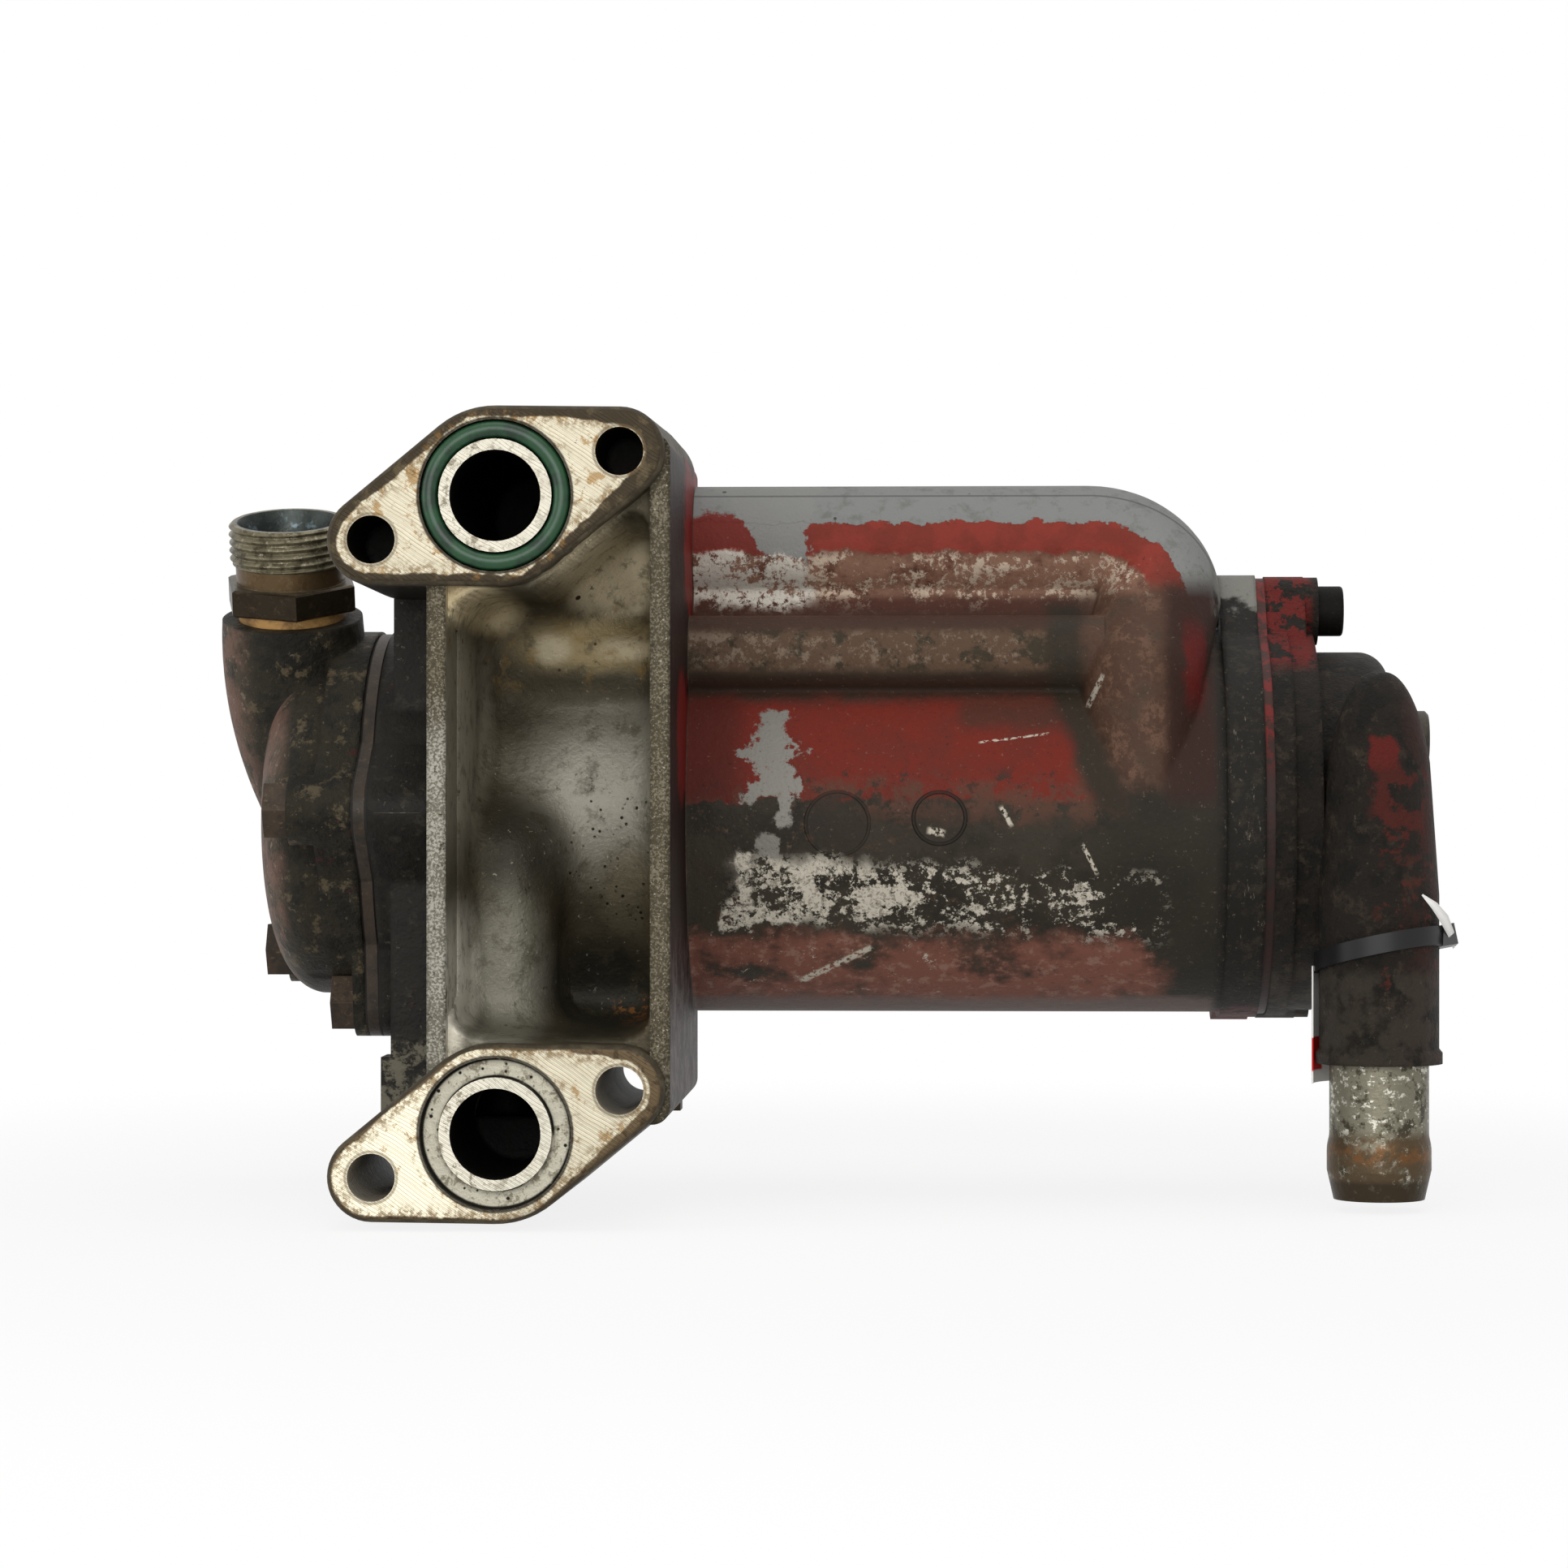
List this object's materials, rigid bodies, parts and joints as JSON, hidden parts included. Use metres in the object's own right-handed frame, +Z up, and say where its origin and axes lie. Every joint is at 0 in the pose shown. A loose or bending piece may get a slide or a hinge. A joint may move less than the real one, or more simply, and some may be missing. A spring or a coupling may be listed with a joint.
{
  "type": "oil cooler housing",
  "caption": "Shell and tube oil cooler casting: bracket with bolted oil port flanges, oil duct along the top, threaded pipe union on the left cover, hose elbow on the right cover.",
  "frame": {"origin": "centre of the upper oil port, on the machined mounting face", "axes": "-Y points out of the port faces, towards the engine and the viewer of the picture; +X runs along the shell, towards the hose elbow; +Z is up, from the lower port to the upper port"},
  "size_m": [0.3008, 0.1643, 0.1884],
  "materials": {
    "baffle_metal": "sheet",
    "bolt_steel": "dark, grimy",
    "cast_housing": "worn red paint over cast aluminium, bare and milled on the port faces",
    "cast_left_cover": "cast, grimy, with worn red paint",
    "cast_right_cover": "cast, grimy, with worn red paint",
    "gasket_fibre": "dark fibre sheet",
    "o_ring_green": "dark green",
    "plug_steel": "dull",
    "ring_red": "flat ring with red edge",
    "seal_black": "black",
    "spigot_steel": "plated, with white corrosion",
    "tag_paper": "blank pale strip",
    "tie_plastic": "black nylon",
    "tube_metal": "drawn tube",
    "tube_sheet_metal": "dull, machined",
    "washer_copper": "soft washer",
    "zinc_steel": "zinc plated, partly worn"
  },
  "bodies": {
    "root": {"baffle_1": "baffle_metal", "baffle_2": "baffle_metal", "baffle_3": "baffle_metal", "baffle_4": "baffle_metal", "cable_tie": "tie_plastic", "cooler_tubes": "tube_metal", "fixed_tube_sheet": "tube_sheet_metal", "floating_tube_sheet": "tube_sheet_metal", "hose_spigot": "spigot_steel", "housing": "cast_housing", "inner_seal_ring": "seal_black", "lantern_ring": "ring_red", "left_cover": "cast_left_cover", "left_cover_bolt_back_high": "bolt_steel", "left_cover_bolt_back_low": "bolt_steel", "left_cover_bolt_bottom": "bolt_steel", "left_cover_bolt_front": "bolt_steel", "left_cover_gasket": "gasket_fibre", "outer_seal_ring": "seal_black", "paper_tag": "tag_paper", "right_cover": "cast_right_cover", "right_cover_bolt_back_high": "bolt_steel", "right_cover_bolt_back_low": "bolt_steel", "right_cover_bolt_top": "bolt_steel", "screw_plug": "plug_steel", "screw_plug_washer": "washer_copper", "tie_rod_1": "baffle_metal", "tie_rod_2": "baffle_metal", "tie_rod_3": "baffle_metal", "tube_sheet_gasket": "gasket_fibre", "union_fitting": "zinc_steel", "union_washer": "washer_copper", "upper_port_o_ring": "o_ring_green"}
  },
  "joints": []
}
